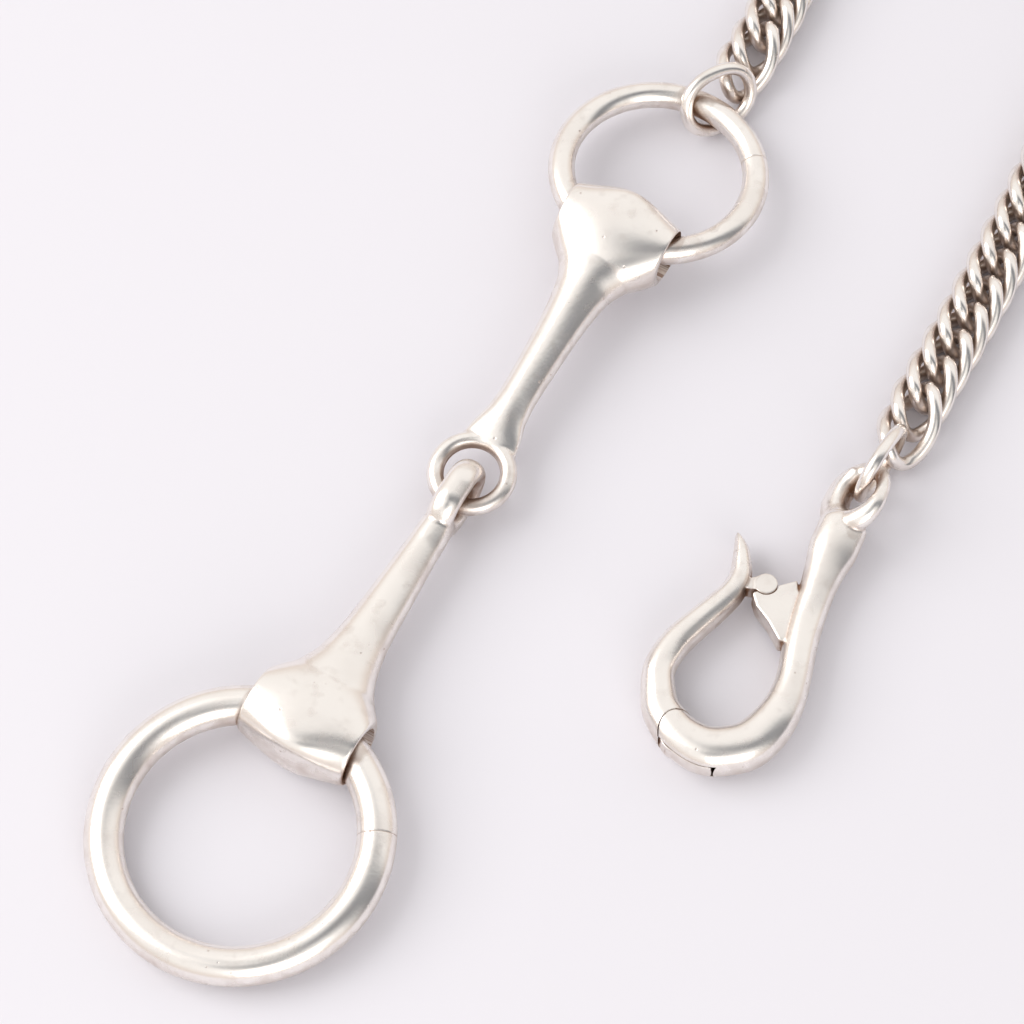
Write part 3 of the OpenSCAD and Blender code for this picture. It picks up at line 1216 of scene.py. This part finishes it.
    def sector(
        self, name: str, first: float, last: float, radius: float, low: float, high: float
    ) -> Object:
        """Make a wedge of a disc about the hinge.

        Args:
            name: the solid's name.
            first: the angle it starts from, in degrees.
            last: the angle it ends at.
            radius: the disc's radius.
            low: its underside.
            high: its top.

        Returns:
            The wedge.
        """
        angle = np.radians(np.linspace(first, last, 14))
        rim = [(radius * math.cos(a), radius * math.sin(a)) for a in angle]
        return plate(name, self.from_hinge([(0, 0)] + rim), low, high)

    def beyond_knuckle(self) -> Object:
        """Return the region on the gate's side of the knuckle's round end.

        Returns:
            A thick plate with the knuckle's outline bitten out of it.
        """
        rim = [math.radians(a) for a in range(47, 228, 6)]
        far = [math.radians(a) for a in (227, 182, 137, 92, 47)]
        well_clear = 9.0
        polar = [(self.knuckle, a) for a in rim] + [(well_clear, a) for a in far]
        outline = [(r * math.cos(a), r * math.sin(a)) for r, a in polar]
        return plate("beyond", self.from_hinge(outline), -1, 7)

    def eye(self) -> Object:
        """Return the eye, a leaning ring of uneven thickness.

        Returns:
            The eye.
        """
        heading, lean = math.radians(self.eye_heading), math.radians(self.eye_lean)
        ahead = np.array([math.cos(heading), math.sin(heading), 0])
        side = np.cross(UP, ahead)
        up_side = math.cos(lean) * side + math.sin(lean) * UP
        turn = around(72)
        circle = np.array(self.eye_at) + self.eye_radius * (
            np.cos(turn)[:, None] * ahead + np.sin(turn)[:, None] * up_side
        )
        # The eye is thick where it grows out of the body and worn thin on the far side
        rod = self.eye_rod + np.where(np.sin(turn) > 0, -0.2, -0.45) * np.sin(turn)
        rod += 0.4 * np.clip(np.cos(turn), 0, 1)
        normal = np.cross(ahead, up_side)
        outward = (circle - np.array(self.eye_at)) / self.eye_radius
        angle = around(32)
        return skin(
            "eye",
            circle[:, None]
            + (rod[:, None] * np.cos(angle))[..., None] * outward[:, None]
            + (rod[:, None] * np.sin(angle))[..., None] * normal,
            closed=True,
        )

    def build_hook(self) -> None:
        """Cast the hook, then cut its slot, its pin hole and the boss's seat."""
        corners = [(28.6, -9.4), (24.0, -10.75), (24.35, -12.2), (25.5, -13.9)]
        corners += [(26.5, -16.0), (28.4, -16.4)]
        spur = plate("spur", corners, 1.0, 3.8)
        body = self.arm("body", self.hook_rows, self.squareness)
        flank = self.arm("flank", self.flank_rows, 1.0)
        parts = [body, flank, self.eye(), spur]
        piece = cast_together("clasp_hook_look", parts, voxel=0.12, soften=10)
        hinge = tuple(self.hinge[:2])
        low, high = self.tongue[0] - self.slot_gap, self.tongue[1] + self.slot_gap
        cut(
            piece,
            self.beyond_knuckle(),
            self.post("pin_hole", hinge, self.pin_hole, -1, self.pin_hole_top),
            self.post("slot_disc", hinge, self.knuckle + self.slot_side, low, high),
            self.sector("slot_wedge", *self.slot_turns, self.slot_reach, low, high),
            self.post("seat", self.boss, self.boss_radius + self.fit, 0, 6),
        )
        into_place(piece, self.layout)
        self.bench.lay_down(piece, "clasp_hook", "clasp_hook", Slot.CLASP)

    def build_gate(self) -> None:
        """Cast the gate's arm, clear it round the hinge and give it its tongue."""
        hx, hy = self.hinge[:2]
        corners = [(23.1, -9.2), (25.2, -8.75), (25.3, -9.9), (24.35, -10.35), (23.3, -10.1)]
        web = plate("web", corners, 1.3, 3.6)
        boss = self.post("boss", self.boss, self.boss_radius, *self.boss_span)
        curve = self.arm("arm", self.gate_rows, self.squareness)
        arm = cast_together("gate_arm", [curve, web, boss], voxel=0.1, soften=5)
        cut(arm, self.post("clear", (hx, hy), self.knuckle + self.fit, -1, 7))
        low, high = self.tongue
        toe_outline = [(-0.9, -0.9), (-2.4, -2.4), (-0.8, -4.0), (1.2, -5.2), (3.0, -3.9), (1.5, -1.5)]
        heel_outline = [(-1.9, 0.8), (-2.9, 2.4), (-1.3, 3.0), (0.6, 2.0)]
        toe = plate("toe", self.from_hinge(toe_outline), low, high)
        carve(toe, self.arm("flush", self.hook_rows, self.squareness), "INTERSECT")
        heel = plate("heel", self.from_hinge(heel_outline), low, high)
        disc = self.post("disc", (hx, hy), self.knuckle - 0.1, low, high)
        tongue = cast_together("tongue", [disc, toe, heel], voxel=0.07, soften=2)
        cut(
            tongue,
            self.post("tongue_eye", (hx, hy), self.pin_hole, 0, 6),
            self.post("pocket", (hx, hy), self.pocket, self.pocket_floor, 6),
        )
        points = [v.co[:] for part in (arm, tongue) for v in part.data.vertices]
        faces = [tuple(p.vertices) for p in arm.data.polygons]
        first = len(arm.data.vertices)
        faces += [tuple(first + i for i in p.vertices) for p in tongue.data.polygons]
        piece = mesh_object("clasp_gate_look", np.array(points), faces)
        for part in (arm, tongue):
            bpy.data.objects.remove(part)
        for polygon in piece.data.polygons:
            polygon.use_smooth = True
        into_place(piece, self.layout)
        self.bench.lay_down(piece, "clasp_gate", "clasp_gate", Slot.CLASP)

    def build_pin(self) -> None:
        """Make the pin with lightly rounded ends, and the coil round it."""
        angle = around(32)
        hx, hy = self.hinge[:2]
        rings = [
            np.stack([hx + r * np.cos(angle), hy + r * np.sin(angle), np.full(len(angle), z)], 1)
            for z, r in zip(self.pin_heights, self.pin_radii)
        ]
        pin = into_place(skin("gate_pin_look", np.array(rings)), self.layout)
        self.bench.lay_down(pin, "clasp_hook", "gate_pin", Slot.PIN)
        turn = np.linspace(0, 5 * np.pi, 90)
        height = self.coil_foot + self.coil_rise * turn / turn[-1]
        coil = np.stack([self.coil_radius * np.cos(turn), self.coil_radius * np.sin(turn), height], 1)
        coil += self.hinge * [1, 1, 0] + LAYOUT
        spring = self.loops.draw("gate_spring_look", coil, self.coil_wire, 10, Slot.SPRING, closed=False)
        self.bench.lay_down(spring, "clasp_gate", "gate_spring", Slot.SPRING)

    def build(self) -> None:
        """Make the whole clasp."""
        self.build_hook()
        self.build_gate()
        self.build_pin()


# ---------------------------------------------------------------- studio


@dataclass
class Studio:
    """Pale sweep of table, white tent of light and the camera."""

    elevation: float = 64
    distance: float = 400
    lens: float = 137.8
    slit_normal: tuple = (0.29, 0.957, 0.0)
    paper: str = "#DFDDE3"
    tent_foot: str = "#E4D8CF"
    tent_top: str = "#FBF9F7"
    tent_gap: str = "#62676F"
    tent_light: float = 1.02
    lamps: tuple = (
        ("left_softbox", (-0.55, 0.1, 0.5), 0.6, 2.9),
        ("front_softbox", (0.15, -0.7, 0.35), 0.5, 1.5),
    )

    def camera(self) -> None:
        """Set the camera over the table, looking the long way."""
        tilt = math.radians(self.elevation)
        target = LAYOUT * MM
        back = np.array([0, -math.cos(tilt), math.sin(tilt)]) * self.distance * MM
        data = bpy.data.cameras.new("camera")
        data.lens = self.lens
        data.sensor_width = 36
        data.clip_start = 0.01
        viewer = in_scene("camera", data)
        viewer.location = target + back
        viewer.rotation_euler = (math.pi / 2 - tilt, 0, 0)
        bpy.context.scene.camera = viewer

    def floor(self) -> None:
        """Lay the pale table."""
        reach = 1.5
        corners = reach * np.array([[-1.0, -1, 0], [1, -1, 0], [1, 1, 0], [-1, 1, 0]])
        table = mesh_object("table", corners, [(0, 1, 2, 3)])
        paper = bpy.data.materials.new("matt_white_background_paper")
        paper.use_nodes = True
        shader = paper.node_tree.nodes["Principled BSDF"]
        shader.inputs["Base Color"].default_value = linear(self.paper)
        shader.inputs["Roughness"].default_value = 0.9
        table.data.materials.append(paper)

    def light(self) -> None:
        """Hang the tent and its lamps."""
        world = bpy.data.worlds.new("tent")
        bpy.context.scene.world = world
        world.use_nodes = True
        tree = world.node_tree
        sky = tree.nodes["Background"]
        way = add(tree, "ShaderNodeTexCoord").outputs["Generated"]
        tilt = math.radians(self.elevation)
        to_camera = (0.0, -math.cos(tilt), math.sin(tilt))
        facing = add(
            tree, "ShaderNodeVectorMath", {0: way, 1: to_camera}, operation="DOT_PRODUCT"
        ).outputs["Value"]
        # The gap in the tent round the camera, and the slit between two of its panels,
        # show as dark streaks in the silver
        gap = spread(tree, facing, 0.965, 0.99, 0.75)
        off_slit = add(
            tree, "ShaderNodeVectorMath", {0: way, 1: self.slit_normal}, operation="DOT_PRODUCT"
        ).outputs["Value"]
        within = spread(tree, maths(tree, "ABSOLUTE", off_slit), 0.3, 0.12, 0.9)
        axes = add(tree, "ShaderNodeSeparateXYZ", {0: way}).outputs
        slit = maths(tree, "MULTIPLY", within, spread(tree, axes["X"], -0.2, 0.1))
        dark = maths(tree, "MAXIMUM", gap, slit)
        rise = spread(tree, axes["Z"], 0.05, 0.5)
        tent = mixed(tree, rise, linear(self.tent_foot), linear(self.tent_top))
        shown = mixed(tree, dark, tent, linear(self.tent_gap))
        tree.links.new(shown, sky.inputs["Color"])
        sky.inputs["Strength"].default_value = self.tent_light
        for name, at, size, power in self.lamps:
            data = bpy.data.lights.new(name, "AREA")
            data.size = size
            data.energy = power
            data.color = (1.0, 0.985, 0.97)
            lamp = in_scene(name, data)
            lamp.location = at
            lamp.rotation_euler = (-Vector(at)).to_track_quat("-Z", "Y").to_euler()

    def build(self) -> None:
        """Set up the whole studio."""
        bpy.context.scene.view_settings.view_transform = "Standard"
        self.camera()
        self.floor()
        self.light()


def main() -> None:
    """Build every piece in order, then the studio, and note the sizes."""
    bench = Bench()
    LooseRing("large_ring", "large_ring_turn", 30.6, 3.95, 118, bench).build()
    LooseRing("small_ring", "small_ring_turn", 23.3, 2.8, -52, bench).build()
    LowerHalf("lower_mouthpiece", bench).build()
    UpperHalf("upper_mouthpiece", bench).build()
    loops = WireLoops(bench)
    loops.build()
    HookClasp(bench, loops).build()
    bench.bake_tarnish_and_shade()
    Studio().build()
    LOG.info("%d pieces", len(bench.done))


if __name__ == "__main__":
    main()
